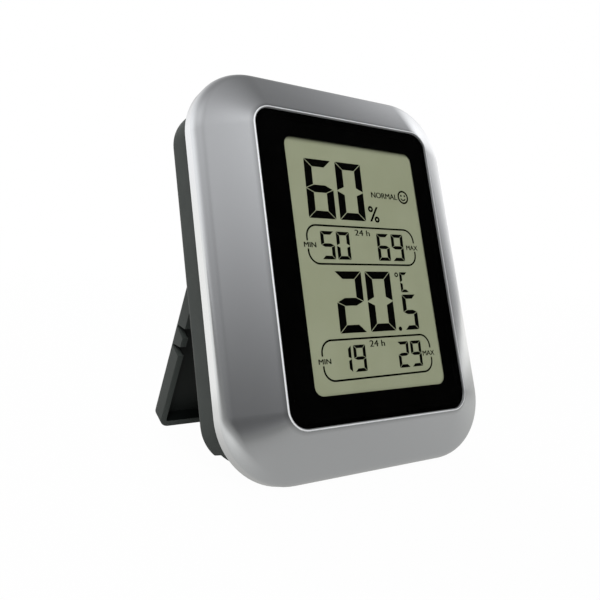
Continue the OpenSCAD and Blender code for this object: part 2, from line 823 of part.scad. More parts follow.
// Buttons
module push_button(x) {
  cap_top = body_d + cap_proud;
  translate([x, 0, row_z]) rotate([-90, 0, 0]) rotate_extrude()
    polygon([[0, stem_end], [stem_r, stem_end], [stem_r, collar_top - collar_t],
             [collar_r, collar_top - collar_t], [collar_r, collar_top], [cap_r, collar_top],
             [cap_r, cap_top - cap_edge], [cap_r - cap_edge, cap_top], [0, cap_top]]);
}

module unit_button() {
  color("gray") placed() push_button(unit_x);
}

module reset_button() {
  color("gray") placed() push_button(reset_x);
}

// Stand, drawn folded about its pin and then swung open
function flange_point(s, depth) = [ear_r - depth, -s];

module slits() {
  tip_from = tooth_s + tooth_slant;
  tip_to = tip_from + tooth_tip;
  tooth_end = tooth_s + tooth_root;
  for (x = [-stand_hw - cut, stand_hw - stand_wall - cut]) bar(x, stand_wall + 2 * cut) {
    polygon([flange_point(tooth_s - slit_w, stand_skin), flange_point(tooth_s, stand_skin),
             flange_point(tip_from, stand_t + cut / 2), flange_point(tooth_s - slit_mouth, stand_t + cut / 2)]);
    polygon([flange_point(tooth_end, stand_skin), flange_point(tooth_end + slit_w, stand_skin),
             flange_point(tooth_end + slit_foot, stand_t + cut / 2), flange_point(tip_to, stand_t + cut / 2)]);
  }
}

module stand() {
  color("darkslategray") placed() translate([0, pivot_y, hinge_z]) rotate([open_angle, 0, 0]) {
    difference() {
      intersection() {
        tray(stand_hw, stand_len, stand_corner_r, ear_r - stand_t, ear_r, stand_edge_r);
        box([-stand_hw, ear_r - stand_t, -stand_len], [stand_hw, ear_r, 0]);
      }
      slab(ear_r - stand_t - cut, stand_t - stand_skin + cut)
        rounded(stand_hw - stand_wall, stand_len - stand_wall, stand_corner_r - stand_wall);
      slits();
    }
    for (s = sides) {
      in_x = s * (stand_hw - ear_w / 2) - ear_w / 2;
      round_x(in_x, in_x + ear_w, 0, 0, ear_r);
      box([in_x + lug_half, -lug_half, 0], [in_x + ear_w - lug_half, lug_half, lug_r]);
      round_x(s * (stand_hw + pin_len / 2) - pin_len / 2 - fit_gap,
              s * (stand_hw + pin_len / 2) + pin_len / 2 + fit_gap, 0, 0, pin_r);
    }
  }
}

front_bezel();
display_lens();
lens_mask();
lens_tape();
lcd_polariser();
lcd_cell();
lcd_reflector();
lcd_pad();
lcd_frame();
zebra_strips();
main_pcb();
pcb_screws();
chip_blob();
crystal();
humidity_sensor();
thermistor();
smd_parts();
tact_switches();
rear_cover();
case_screws();
battery_cell();
negative_contact();
positive_contact();
battery_leads();
battery_door();
unit_button();
reset_button();
stand();
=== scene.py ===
# Desktop thermometer and hygrometer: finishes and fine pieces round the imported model
import json
import math

import bpy
from mathutils import Matrix, Vector

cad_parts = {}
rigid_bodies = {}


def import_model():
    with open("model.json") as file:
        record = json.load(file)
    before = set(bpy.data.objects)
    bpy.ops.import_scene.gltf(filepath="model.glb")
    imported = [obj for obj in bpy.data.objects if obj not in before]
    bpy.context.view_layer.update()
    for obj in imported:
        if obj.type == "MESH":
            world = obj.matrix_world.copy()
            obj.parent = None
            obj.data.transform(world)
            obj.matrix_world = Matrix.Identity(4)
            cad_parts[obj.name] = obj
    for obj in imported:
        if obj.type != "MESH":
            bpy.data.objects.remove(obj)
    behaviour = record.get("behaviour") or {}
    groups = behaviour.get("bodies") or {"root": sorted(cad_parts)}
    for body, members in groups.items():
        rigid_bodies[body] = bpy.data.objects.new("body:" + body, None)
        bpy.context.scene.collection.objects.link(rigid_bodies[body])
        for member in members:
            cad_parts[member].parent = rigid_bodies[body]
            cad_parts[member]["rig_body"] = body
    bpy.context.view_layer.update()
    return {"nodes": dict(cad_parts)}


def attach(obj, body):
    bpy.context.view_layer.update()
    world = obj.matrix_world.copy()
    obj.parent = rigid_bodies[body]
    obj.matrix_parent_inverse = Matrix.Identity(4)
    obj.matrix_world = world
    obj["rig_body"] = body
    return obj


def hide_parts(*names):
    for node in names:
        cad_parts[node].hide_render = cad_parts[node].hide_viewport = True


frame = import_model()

nodes = frame["nodes"]
scene = bpy.context.scene
scene.view_settings.view_transform = "Standard"

# Upright frame of the body: x across, y back from the rim, z up from the middle, in millimetres
bodyPose = {"lean": 22.2969, "shift": (0.0, -13.0041, 48.888), "unit": 0.001}
toMetres = Matrix.Scale(bodyPose["unit"], 4)
bodyTurn = Matrix.Rotation(-math.radians(bodyPose["lean"]), 4, "X")
bodyMatrix = toMetres @ Matrix.Translation(bodyPose["shift"]) @ bodyTurn
standPose = {"pin": (0.0, 20.0, 4.1), "opened": 43.8}
standTurn = Matrix.Rotation(math.radians(standPose["opened"]), 4, "X")
standMatrix = bodyMatrix @ Matrix.Translation(standPose["pin"]) @ standTurn


def tone(red, green, blue):
    # a colour as it is seen on a screen, 0 to 255, as the linear values that shaders take
    def linear(level):
        share = level / 255
        return share / 12.92 if share <= 0.04045 else ((share + 0.055) / 1.055) ** 2.4
    return (linear(red), linear(green), linear(blue), 1.0)


class Wire:
    # one output of a shader node; operators on it add Math nodes

    def __init__(self, tree, socket=None):
        self.tree = tree
        self.socket = socket

    def node(self, kind, settings, sockets, output=0):
        made = self.tree.nodes.new(kind)
        for name, value in settings.items():
            setattr(made, name, value)
        for key, value in sockets.items():
            if isinstance(value, Wire):
                self.tree.links.new(value.socket, made.inputs[key])
            else:
                made.inputs[key].default_value = value
        return Wire(self.tree, made.outputs[output])

    def out(self, name):
        return Wire(self.tree, self.socket.node.outputs[name])

    def show(self, kind="ShaderNodeOutputMaterial"):
        output = self.tree.nodes.new(kind)
        self.tree.links.new(self.socket, output.inputs["Surface"])

    def math(self, operation, other=0.0, first=None):
        # this wire is the first value unless another one is given
        values = {0: self if first is None else first, 1: other}
        return self.node("ShaderNodeMath", {"operation": operation}, values)

    def __add__(self, other):
        return self.math("ADD", other)

    def __sub__(self, other):
        return self.math("SUBTRACT", other)

    def __rsub__(self, other):
        return self.math("SUBTRACT", self, other)

    def __mul__(self, other):
        return self.math("MULTIPLY", other)

    def __truediv__(self, other):
        return self.math("DIVIDE", other)

    def __abs__(self):
        return self.math("ABSOLUTE")

    __radd__ = __add__
    __rmul__ = __mul__

    def below(self, limit):
        return self.math("LESS_THAN", limit)

    def above(self, limit):
        return self.math("GREATER_THAN", limit)

    def ease(self, low, high, lowValue=0.0, highValue=1.0):
        return self.node("ShaderNodeMapRange", {"interpolation_type": "SMOOTHSTEP"},
                         {0: self, 1: low, 2: high, 3: lowValue, 4: highValue})

    def blend(self, first, second):
        # this wire is the share of the second colour
        return self.node("ShaderNodeMix", {"data_type": "RGBA"}, {0: self, 6: first, 7: second}, 2)

    def split(self):
        parts = self.node("ShaderNodeSeparateXYZ", {}, {0: self})
        return parts, parts.out("Y"), parts.out("Z")

    def noise(self, size, detail=2.0):
        # size of the lumps in millimetres
        return self.node("ShaderNodeTexNoise", {}, {"Vector": self, "Scale": 1000 / size, "Detail": detail})

    def turned(self, location, lean):
        # coordinates in a frame that is moved, in metres, and turned about x, in degrees
        turn = (math.radians(lean), 0.0, 0.0)
        return self.node("ShaderNodeMapping", {"vector_type": "TEXTURE"},
                         {"Vector": self, "Location": location, "Rotation": turn})

    def stretched(self, scale):
        return self.node("ShaderNodeMapping", {}, {"Vector": self, "Scale": scale})

    def cells(self, size, output):
        return self.node("ShaderNodeTexVoronoi", {}, {"Vector": self, "Scale": 1000 / size}, output)

    def bump(self, distance):
        # this wire is the height, 0 to 1, and the distance its depth in millimetres
        return self.node("ShaderNodeBump", {}, {"Height": self, "Distance": distance / 1000})


def dressed(name, build, look):
    # a material from a finish, which returns the sockets of a plain surface or a whole shader
    material = bpy.data.materials.new(name)
    material.use_nodes = True
    material.node_tree.nodes.clear()
    place = Wire(material.node_tree).node("ShaderNodeTexCoord", {}, {}, "Object")
    surface = build(place, look)
    if not isinstance(surface, Wire):
        surface = place.node("ShaderNodeBsdfPrincipled", {}, surface)
    surface.show()
    return material


def upright(place):
    # Object coordinates turned into the body's upright frame, still in metres
    return place.turned(Vector(bodyPose["shift"]) * bodyPose["unit"], -bodyPose["lean"])


def spreadRough(wire, look):
    return wire * look["roughSpread"] + (look["rough"] - look["roughSpread"] / 2)


cloudBand = (0.3, 0.7)
stainBand = (0.35, 0.75)
white = (1.0, 1.0, 1.0, 1.0)


def moulded(place, look):
    # injection moulded plastic: an even colour with faint clouds and a fine spark-eroded grain
    shade = place.noise(look["cloud"], 3.0).ease(*cloudBand).blend(look["colour"], look["paler"])
    rub = place.noise(look["cloud"] / 5, 4.0)
    grain = place.noise(look["grain"])
    return {"Base Color": shade, "Roughness": spreadRough(rub, look), "Metallic": look.get("metal", 0.0),
            "Specular IOR Level": look.get("shine", 0.5), "Normal": grain.bump(look["depth"])}


def metalFinish(place, look):
    # drawn or turned metal: fine streaks along one axis over soft stains
    streaks = place.stretched(look["lay"]).noise(look["streak"], 3.0)
    shade = place.noise(look["stain"], 3.0).ease(*stainBand).blend(look["colour"], look["darker"])
    rough = streaks * look["roughSpread"] + look["rough"]
    return {"Base Color": shade, "Metallic": 1.0, "Roughness": rough, "Normal": streaks.bump(look["depth"])}


# Stand plastic: the shell's grain outside, and painted shade inside the tray, a near-black colour standing
# in for its shadow
standLook = {"colour": tone(52, 56, 54), "paler": tone(56, 60, 58), "inside": tone(12, 15, 14),
             "cloud": 12.0, "grain": 0.22, "rough": 0.52, "roughSpread": 0.1, "depth": 0.012, "shine": 0.1,
             "halfWidth": 32.6, "bottom": -46.2, "face": -2.1, "floor": 1.7, "soft": 0.15, "band": 0.3}


def standPlastic(place, look):
    flap = place.turned(bodyMatrix @ Vector(standPose["pin"]), standPose["opened"] - bodyPose["lean"])
    across, deep, rise = flap.split()
    clouds = place.noise(look["cloud"], 3.0)
    soft, band = look["soft"], look["band"]
    # painted shade: the tray's inner faces, in the body's shadow, are given a near-black colour
    inside = ((look["halfWidth"] - abs(across) * 1000).ease(-soft, soft)
              * (rise * 1000).ease(look["bottom"] - soft, look["bottom"] + soft)
              * (deep * 1000).ease(look["face"], look["face"] + band)
              * (deep * 1000).ease(look["floor"], look["floor"] + band, 1.0, 0.0))
    outside = clouds.ease(*cloudBand).blend(look["colour"], look["paler"])
    grain = place.noise(look["grain"])
    return {"Base Color": inside.blend(outside, look["inside"]), "Specular IOR Level": look["shine"],
            "Roughness": spreadRough(clouds, look), "Normal": grain.bump(look["depth"])}


# Silver paint of the front frame: aluminium flakes under a thin clear coat, with painted shade darkening it
# in the crease at the rim
silverLook = {"colour": tone(209, 211, 214), "flakeTone": tone(214, 216, 219), "flake": 0.09,
              "metal": 1.0, "rough": 0.16, "roughSpread": 0.05, "ripple": 2.4, "coat": 0.15,
              "coatRough": 0.12, "depth": 0.0015, "crease": 0.3, "creaseFrom": 0.3, "creaseTo": 1.6,
              "flank": tone(220, 221, 223), "flankFrom": 8.68, "flankTo": 8.88}
# the bead's paint is paler and less metallic than the frame's, a painted highlight that makes it show as a
# bright line; its window side gets stronger painted shade
beadPaint = dict(silverLook, colour=tone(226, 228, 230), flakeTone=tone(232, 234, 236), metal=0.4,
                 rough=0.3, crease=0.75, creaseFrom=0.05, creaseTo=0.25)
windowShape = {"halfWidth": 26.2, "halfHeight": 36.2, "corner": 4.4}


def pastWindow(place):
    # distance outwards from the window's edge in millimetres, and the depth
    across, deep, rise = upright(place).split()
    overX = abs(across) * 1000 - (windowShape["halfWidth"] - windowShape["corner"])
    overZ = abs(rise) * 1000 - (windowShape["halfHeight"] - windowShape["corner"])
    overX = overX.math("MAXIMUM")
    overZ = overZ.math("MAXIMUM")
    reach = (overX * overX + overZ * overZ).math("SQRT")
    return reach - windowShape["corner"], deep


def silverPaint(place, look):
    flakes = place.cells(look["flake"], "Color")
    glint = flakes.node("ShaderNodeSeparateColor", {}, {0: flakes})
    ripple = place.noise(look["ripple"], 3.0)
    past, deep = pastWindow(place)
    # a brighter band behind the rounding
    flank = (deep * 1000).ease(look["flankFrom"], look["flankTo"])
    flaked = flank.blend(glint.blend(look["colour"], look["flakeTone"]), look["flank"])
    # painted shade: the colour darkens towards the window's edge, standing in for shadow in the rim's
    # crease
    crease = past.ease(look["creaseFrom"], look["creaseTo"], look["crease"], 0.0)
    rough = ripple * look["roughSpread"] + look["rough"]
    return {"Base Color": crease.blend(flaked, tone(0, 0, 0)), "Metallic": look["metal"],
            "Roughness": rough, "Coat Weight": look["coat"], "Coat Roughness": look["coatRough"],
            "Normal": ripple.bump(look["depth"])}


# Clear window: what is behind shows through, and a faint hard-coated gloss lies over it
lensLook = {"index": 1.06, "rough": 0.02, "gloss": 0.04, "scuff": 6.0, "tint": (0.985, 0.99, 0.985, 1.0)}


def clearLens(place, look):
    veil = place.node("ShaderNodeFresnel", {}, {"IOR": look["index"]})
    through = place.node("ShaderNodeBsdfTransparent", {}, {"Color": look["tint"]})
    rough = place.noise(look["scuff"], 4.0) * look["gloss"] + look["rough"]
    gloss = place.node("ShaderNodeBsdfGlossy", {}, {"Color": white, "Roughness": rough})
    return place.node("ShaderNodeMixShader", {}, {0: veil, 1: through, 2: gloss})


# Display background: grey-green film with a faint vertical drawing grain, and a painted shadow of the
# window's border along its upper and left edges
filmLook = {"colour": tone(127, 130, 108), "paler": tone(131, 134, 113), "shaded": tone(20, 21, 18),
            "cloud": 9.0, "cloudShare": 0.7, "grain": 0.12, "drawn": (1.0, 1.0, 0.08), "rough": 0.55,
            "depth": 0.001, "shine": 0.15, "top": 30.6, "topEdge": (-0.3, 1.5), "left": -18.9,
            "leftEdge": (-0.9, 0.9)}


def displayFilm(place, look):
    body = upright(place)
    threads = body.stretched(look["drawn"]).noise(look["grain"])
    clouds = place.noise(look["cloud"])
    across, deep, rise = body.split()
    # painted shadow: the colour darkens towards the film's top and left edges
    lit = ((look["top"] - rise * 1000).ease(*look["topEdge"])
           * (across * 1000 - look["left"]).ease(*look["leftEdge"]))
    mixed = clouds * look["cloudShare"] + threads * (1.0 - look["cloudShare"])
    plain = mixed.ease(*cloudBand).blend(look["colour"], look["paler"])
    return {"Base Color": lit.blend(look["shaded"], plain), "Roughness": look["rough"],
            "Specular IOR Level": look["shine"], "Normal": threads.bump(look["depth"])}


# Circuit board: green solder resist over copper tracks, with tinned pads
boardLook = {"resist": tone(22, 74, 44), "track": tone(38, 104, 62), "pad": tone(198, 190, 160),
             "trackPitch": 2.2, "trackWidth": 0.34, "padPitch": 5.1, "padSize": 0.42, "bend": 0.012,
             "bendSize": 24.0, "rough": 0.42, "padRough": 0.28, "padMetal": 0.9, "relief": 0.03}


def boardFinish(place, look):
    body = upright(place)
    across, deep, rise = body.split()
    bend = body.noise(look["bendSize"], 0.0) * look["bend"]
    lane = ((rise + bend) / (look["trackPitch"] / 1000)).math("FRACT")
    tracks = abs(lane - 0.5).below(look["trackWidth"] / look["trackPitch"])
    padStep = look["padPitch"] / 1000
    cellX = (across / padStep).math("FRACT") - 0.5
    cellZ = (rise / padStep).math("FRACT") - 0.5
    reach = (cellX * cellX + cellZ * cellZ).math("SQRT")
    pads = reach.below(look["padSize"] / look["padPitch"])
    shade = pads.blend(tracks.blend(look["resist"], look["track"]), look["pad"])
    rough = look["rough"] - pads * (look["rough"] - look["padRough"])
    return {"Base Color": shade, "Metallic": pads * look["padMetal"], "Roughness": rough,
            "Normal": (tracks + pads).bump(look["relief"])}


# Contact rubber: thin black and pale layers stacked across the width
rubberLook = {"dark": tone(26, 26, 27), "pale": tone(206, 186, 178), "pitch": 0.36,
              "sponge": 0.4, "rough": 0.7, "roughSpread": 0.2, "depth": 0.02}


def layeredRubber(place, look):
    step = upright(place).split()[0] / (look["pitch"] / 1000)
    layer = step.math("FRACT").above(0.5)
    sponge = place.noise(look["sponge"], 3.0)
    return {"Base Color": layer.blend(look["dark"], look["pale"]), "Roughness": spreadRough(sponge, look),
            "Normal": sponge.bump(look["depth"])}


# Foam: open cells
foamLook = {"colour": tone(196, 196, 190), "darker": tone(140, 140, 135), "cell": 0.5,
            "wall": (0.1, 0.6), "rough": 0.9, "shine": 0.2, "depth": 0.15}


def foamFinish(place, look):
    cells = place.cells(look["cell"], "Distance")
    return {"Base Color": cells.ease(*look["wall"]).blend(look["darker"], look["colour"]),
            "Roughness": look["rough"], "Specular IOR Level": look["shine"],
            "Normal": cells.bump(look["depth"])}


# Cell jacket: a plain printed sleeve, dark with a copper band at its positive end
jacketLook = {"dark": tone(34, 36, 40), "band": tone(176, 112, 62), "bandFrom": 11.0, "edge": 0.15,
              "line": 0.8, "lineFrom": 2.0, "lineEdge": 0.05, "metal": 0.7, "wrinkle": 1.6, "rough": 0.32,
              "roughSpread": 0.12, "depth": 0.012}


def cellSleeve(place, look):
    far = upright(place).split()[0] * 1000 - look["bandFrom"]
    band = far.ease(-look["edge"], look["edge"])
    line = abs(far + look["lineFrom"]) - look["line"] / 2
    line = line.ease(-look["lineEdge"], look["lineEdge"], 1.0, 0.0)
    wrinkles = place.noise(look["wrinkle"], 4.0)
    shade = line.blend(band.blend(look["dark"], look["band"]), look["band"])
    metal = (band + line).math("MINIMUM", 1.0) * look["metal"]
    return {"Base Color": shade, "Metallic": metal, "Roughness": spreadRough(wrinkles, look),
            "Normal": wrinkles.bump(look["depth"])}


def plastic(colour, paler, cloud, grain, rough, depth, roughSpread=0.1, **more):
    # settings of a moulded finish; lumps, grain and its depth in millimetres
    return dict(more, colour=tone(*colour), paler=tone(*paler), cloud=cloud, grain=grain, rough=rough,
                depth=depth, roughSpread=roughSpread)


plasticLooks = {
    "darkShell": plastic((56, 60, 58), (60, 64, 62), 14.0, 0.22, 0.56, 0.012, shine=0.1),
    "buttonPlastic": plastic((112, 116, 116), (118, 122, 121), 3.0, 0.15, 0.45, 0.006, 0.08),
    "signInk": plastic((168, 172, 170), (176, 180, 178), 2.0, 0.1, 0.6, 0.003),
    "blackPrint": plastic((1, 1, 1), (2, 2, 2), 8.0, 0.1, 0.5, 0.001, shine=0.02),
    "displayInk": plastic((2, 2, 2), (4, 4, 3), 6.0, 0.08, 0.6, 0.001, shine=0.02),
    "tapeGrey": plastic((62, 62, 64), (72, 72, 74), 2.0, 0.12, 0.7, 0.01),
    "cellGlass": plastic((120, 132, 112), (128, 140, 120), 10.0, 0.5, 0.08, 0.001, 0.03),
    "reflectorFilm": plastic((196, 200, 198), (208, 212, 210), 5.0, 0.08, 0.35, 0.004, metal=0.8),
    "whitePlastic": plastic((222, 221, 214), (230, 229, 223), 8.0, 0.18, 0.48, 0.006),
    "blackResin": plastic((14, 14, 15), (20, 20, 21), 4.0, 1.6, 0.2, 0.05, 0.12),
    "ceramic": plastic((170, 140, 108), (188, 160, 128), 0.8, 0.08, 0.45, 0.004, 0.15),
    "switchPlastic": plastic((38, 38, 40), (44, 44, 46), 2.5, 0.12, 0.42, 0.005),
    "leadJacket": plastic((150, 30, 26), (166, 38, 32), 1.5, 0.1, 0.4, 0.004),
    "insulator": plastic((206, 204, 196), (214, 212, 206), 2.0, 0.1, 0.5, 0.004),
}
metalLooks = {
    "screwSteel": {"colour": tone(196, 198, 200), "darker": tone(160, 162, 166), "lay": (1.0, 1.0, 1.0),
                   "streak": 0.12, "stain": 0.8, "rough": 0.26, "roughSpread": 0.14, "depth": 0.004},
    "platedMetal": {"colour": tone(205, 207, 206), "darker": tone(176, 178, 180), "lay": (1.0, 0.08, 1.0),
                    "streak": 0.1, "stain": 3.0, "rough": 0.2, "roughSpread": 0.16, "depth": 0.003},
}

finishes = {name: dressed(name, moulded, look) for name, look in plasticLooks.items()}
finishes.update({name: dressed(name, metalFinish, look) for name, look in metalLooks.items()})
for name, build, look in (
        ("silverPaint", silverPaint, silverLook), ("beadPaint", silverPaint, beadPaint),
        ("clearLens", clearLens, lensLook), ("displayFilm", displayFilm, filmLook),
        ("boardFinish", boardFinish, boardLook), ("layeredRubber", layeredRubber, rubberLook),
        ("foamFinish", foamFinish, foamLook), ("cellSleeve", cellSleeve, jacketLook),
        ("standPlastic", standPlastic, standLook)):
    finishes[name] = dressed(name, build, look)
# Slots whose finish has a name of its own; the others share theirs with the slot
slotFinishes = {"tape": "tapeGrey", "polariser": "displayFilm", "display_glass": "cellGlass",
                "foam": "foamFinish", "contact_rubber": "layeredRubber", "board": "boardFinish",
                "cell_jacket": "cellSleeve"}


def finishOf(slotName):
    first, *others = slotName.split("_")
    return slotFinishes.get(slotName, first + "".join(word.capitalize() for word in others))


nodeSlot = {}
for name, node in nodes.items():
    nodeSlot[name] = node.data.materials[0].name
    node.data.materials[0] = finishes[finishOf(nodeSlot[name])]
print("finishes:", len(finishes))


def clearSelection():
    if bpy.context.mode != "OBJECT":
        bpy.ops.object.mode_set(mode="OBJECT")
    bpy.ops.object.select_all(action="DESELECT")


def pick(piece):
    clearSelection()
    piece.select_set(True)
    bpy.context.view_layer.objects.active = piece


def editMode():
    bpy.ops.object.mode_set(mode="EDIT")


def objectMode():
    bpy.ops.object.mode_set(mode="OBJECT")


def editAll(piece):
    pick(piece)
    editMode()
    bpy.ops.mesh.select_all(action="SELECT")


def linked(name, data):
    made = bpy.data.objects.new(name, data)
    scene.collection.objects.link(made)
    return made


def modified(piece, kind, **settings):
    pick(piece)
    bpy.ops.object.modifier_add(type=kind)
    modifier = piece.modifiers[-1]
    for name, value in settings.items():
        setattr(modifier, name, value)
    bpy.ops.object.modifier_apply(modifier=modifier.name)


# Angles in degrees and distances in millimetres for joining, flattening and smoothing meshes
meshRules = {"merge": 0.001, "weld": 0.0005, "flat": 0.4, "sharp": 35.0, "smooth": 32.0, "wireSmooth": 60.0}


def seat(piece, matrix, body, finishName):
    # moves a piece that was modelled upright in millimetres to its place, with the place in its mesh
    pick(piece)
    piece.data.transform(matrix)
    piece.data.materials.clear()
    piece.data.materials.append(finishes[finishName])
    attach(piece, body)
    return piece


def softEdges(piece, limit=meshRules["smooth"]):
    # smooth shading up to the limit, with flat faces kept flat
    pick(piece)
    bpy.ops.object.shade_smooth_by_angle(angle=math.radians(limit))
    modified(piece, "WEIGHTED_NORMAL", keep_sharp=True)


def broken(nodeName, pieceName, matrix, edges, flatten=True):
    # a merged copy of a solid with its sharp edges broken; edges lists (test, width, steps)
    source = nodes[nodeName]
    body = source["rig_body"]
    piece = linked(pieceName, source.data.copy())
    piece.data.transform(matrix.inverted())
    pick(piece)
    bpy.ops.mesh.customdata_custom_splitnormals_clear()
    editAll(piece)
    bpy.ops.mesh.remove_doubles(threshold=meshRules["merge"])
    if flatten:
        bpy.ops.mesh.dissolve_limited(angle_limit=math.radians(meshRules["flat"]))
    for test, width, steps in edges:
        bpy.ops.mesh.select_mode(type="EDGE")
        bpy.ops.mesh.select_all(action="DESELECT")
        bpy.ops.mesh.edges_select_sharp(sharpness=math.radians(meshRules["sharp"]))
        objectMode()
        points = [vertex.co.copy() for vertex in piece.data.vertices]
        for edge in piece.data.edges:
            edge.select = edge.select and test(points[edge.vertices[0]], points[edge.vertices[1]])
        editMode()
        bpy.ops.mesh.bevel(offset=width, offset_type="OFFSET", segments=steps, affect="EDGES",
                           clamp_overlap=False)
    objectMode()
    softEdges(piece)
    piece.data.transform(matrix)
    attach(piece, body)
    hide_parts(nodeName)
    return piece


def arc(centreX, centreZ, radius, fromTurn, toTurn, steps):
    angles = [math.radians(fromTurn + (toTurn - fromTurn) * i / steps) for i in range(steps + 1)]
    return [(centreX + radius * math.cos(angle), centreZ + radius * math.sin(angle)) for angle in angles]


def joined(pieces, pieceName):
    clearSelection()
    for piece in pieces:
        piece.select_set(True)
    bpy.context.view_layer.objects.active = pieces[0]
    bpy.ops.object.join()
    pieces[0].name = pieceName
    return pieces[0]


def closeUp(piece):
    # joins touching points and turns every face outwards
    editAll(piece)
    bpy.ops.mesh.remove_doubles(threshold=meshRules["weld"])
    bpy.ops.mesh.normals_make_consistent(inside=False)
    objectMode()
    return piece


def meshed(piece):
    pick(piece)
    bpy.ops.object.convert(target="MESH")
    return closeUp(bpy.context.view_layer.objects.active)


def drawLine(curve, points, closed):
    line = curve.splines.new("POLY")
    line.points.add(len(points) - 1)
    for point, place in zip(line.points, points):
        point.co = (*place, 1.0)
    line.use_cyclic_u = closed


def tube(pieceName, points, radius, closed=False):
    # round wire along a line of points
    clearSelection()
    path = bpy.data.curves.new(pieceName, "CURVE")
    path.dimensions = "3D"
    path.bevel_depth = radius
    path.bevel_resolution = 3
    path.use_fill_caps = not closed
    drawLine(path, points, closed)
    piece = meshed(linked(pieceName, path))
    softEdges(piece, meshRules["wireSmooth"])
    return piece


def lathe(pieceName, profile, steps, ring=False):
    # a line of (radius, height) points turned about z; it runs from axis to axis, or round a ring
    clearSelection()
    mesh = bpy.data.meshes.new(pieceName)
    last = len(profile) - 1
    links = [(i, i + 1) for i in range(last)] + ([(last, 0)] if ring else [])
    mesh.from_pydata([(radius, 0.0, height) for radius, height in profile], links, [])
    piece = linked(pieceName, mesh)
    modified(piece, "SCREW", steps=steps, render_steps=steps, use_merge_vertices=True,
             merge_threshold=meshRules["weld"])
    closeUp(piece)
    softEdges(piece)
    return piece


def block(pieceName, low, high, edge):
    # a box between two corners with its edges broken
    clearSelection()
    bpy.ops.mesh.primitive_cube_add(size=1.0)
    piece = bpy.context.active_object
    piece.name = pieceName
    size = Vector(high) - Vector(low)
    middle = (Vector(high) + Vector(low)) / 2
    piece.data.transform(Matrix.Translation(middle) @ Matrix.Diagonal((*size, 1.0)))
    editAll(piece)
    bpy.ops.mesh.bevel(offset=edge, offset_type="OFFSET", segments=2, affect="EDGES")
    objectMode()
    softEdges(piece)
    return piece


def levelAt(depth, slack=0.02):
    # true for an edge that lies wholly at one depth
    return lambda first, second: abs(first.y - depth) < slack and abs(second.y - depth) < slack


def everyEdge(first, second):
    return True


# Housing mouldings with their edges broken as a tool leaves them: depth of the edges, width, steps
edgeBreaks = {"rim": (0.0, 0.1, 2), "bezelBack": (11.8, 0.35, 3), "lensFront": (0.1, 0.2, 2),
              "coverBack": (23.0, 0.16, 2), "standRim": (-2.2, 0.22, 2), "doorFace": (22.95, 0.12, 2),
              "capTop": (23.3, 0.1, 3)}
# The same for every edge of a piece: width, steps
fullBreaks = {"tongue": (0.06, 1), "foam": (0.35, 2)}


def breakAt(name):
    depth, width, steps = edgeBreaks[name]
    return levelAt(depth), width, steps


bezel = broken("front_bezel", "bezelShell", bodyMatrix, [breakAt("bezelBack"), breakAt("rim")])
# Crown of the four slopes: rim, tilt and rounding as the solid has them, and how far the middle stands out
crownLook = {"rim": 0.35, "tilt": 28.82, "out": 7.6, "depth": 8.783, "radius": 4.2, "bulge": 0.0074,
             "middle": 5.9, "rise": 0.24, "cuts": 8, "inner": 0.444, "slack": 0.03, "apart": 20.0}


def windowPolar(point):
    # nearest spot of the window's inner core, outward direction and distance past the window's edge
    coreX = windowShape["halfWidth"] - windowShape["corner"]
    coreZ = windowShape["halfHeight"] - windowShape["corner"]
    over = Vector((math.copysign(max(abs(point.x) - coreX, 0.0), point.x), 0.0,
                   math.copysign(max(abs(point.z) - coreZ, 0.0), point.z)))
    core = Vector((point.x - over.x, 0.0, point.z - over.z))
    return core, over.normalized(), over.length - windowShape["corner"]


def slopePoint(point):
    # outward direction, distance past the window and tilt of the frame's face at a point, or nothing off it
    outward, past = windowPolar(point)[1:]
    tilt = math.radians(crownLook["tilt"])
    reach = past - crownLook["out"]
    drop = point.y - crownLook["depth"]
    onRound = abs(math.hypot(reach, drop) - crownLook["radius"]) < crownLook["slack"]
    if onRound and drop < 0.001 and reach > crownLook["radius"] * math.sin(tilt) - crownLook["slack"]:
        return outward, past, math.atan2(reach, -drop)
    level = (past - crownLook["rim"]) * math.tan(tilt)
    onSlope = abs(point.y - level) < crownLook["slack"] and reach < crownLook["radius"]
    if onSlope and past > crownLook["rim"]:
        return outward, past, tilt
    return None


def pickBorder(mesh, test):
    # selects the open edges that pass the test, and leaves the mesh in edit mode
    editMode()
    bpy.ops.mesh.select_mode(type="EDGE")
    bpy.ops.mesh.select_all(action="DESELECT")
    bpy.ops.mesh.select_non_manifold(use_wire=False, use_multi_face=False, use_non_contiguous=False,
                                     use_verts=False)
    objectMode()
    for edge in mesh.edges:
        edge.select = edge.select and all(test(mesh.vertices[index].co) for index in edge.vertices)
    for vertex in mesh.vertices:
        vertex.select = vertex.select and test(vertex.co)
    editMode()


